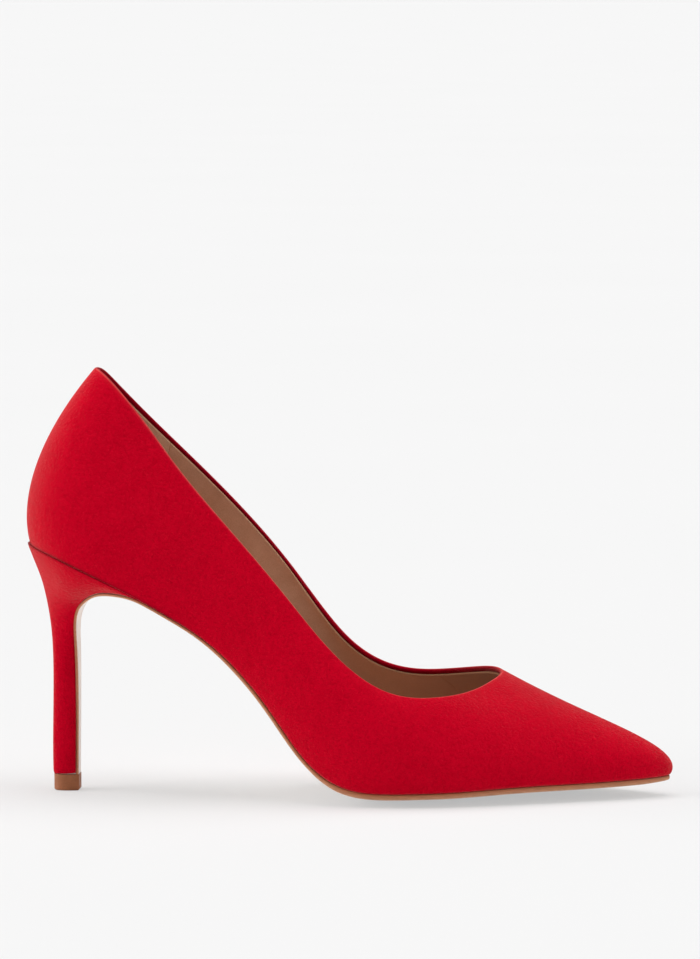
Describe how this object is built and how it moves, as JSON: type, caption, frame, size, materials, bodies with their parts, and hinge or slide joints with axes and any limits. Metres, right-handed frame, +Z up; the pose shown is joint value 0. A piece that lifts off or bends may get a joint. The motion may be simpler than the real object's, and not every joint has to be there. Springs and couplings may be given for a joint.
{
  "type": "high heel pump",
  "caption": "Pointed stiletto court shoe for the right foot: folded-topline upper, leather linings, slim covered heel and thin sole with a heel breast flap.",
  "frame": {"origin": "On the floor, under the centre of the shoe's bounding box", "axes": "+X from heel to toe, +Y towards the inner (medial) side of the right foot, +Z up"},
  "size_m": [0.2322, 0.0806, 0.153],
  "materials": {
    "suede": "matte, fine nap",
    "lining": "satin",
    "grip": "matte",
    "sole": "satin, lacquered",
    "tip": "satin",
    "abs": "matte",
    "steel": "plain",
    "board": "fibre board",
    "foam": "open foam, stands in for foam",
    "cloth": "woven cotton",
    "stiffener": "impregnated sheet"
  },
  "bodies": {
    "root": {"upper": "suede", "heel_cover": "suede", "heel_grip": "grip", "quarter_lining_outer": "lining", "quarter_lining_inner": "lining", "vamp_lining": "lining", "sock_lining": "lining", "outsole": "sole", "top_piece": "tip", "heel_block": "abs", "heel_tube": "steel", "top_piece_pin": "steel", "heel_screw": "steel", "heel_nails": "steel", "steel_shank": "steel", "shank_rivets": "steel", "insole_board": "board", "tuck_board": "board", "bottom_filler": "board", "sock_foam": "foam", "vamp_interlining": "cloth", "heel_counter": "stiffener", "toe_puff": "stiffener"}
  },
  "joints": []
}
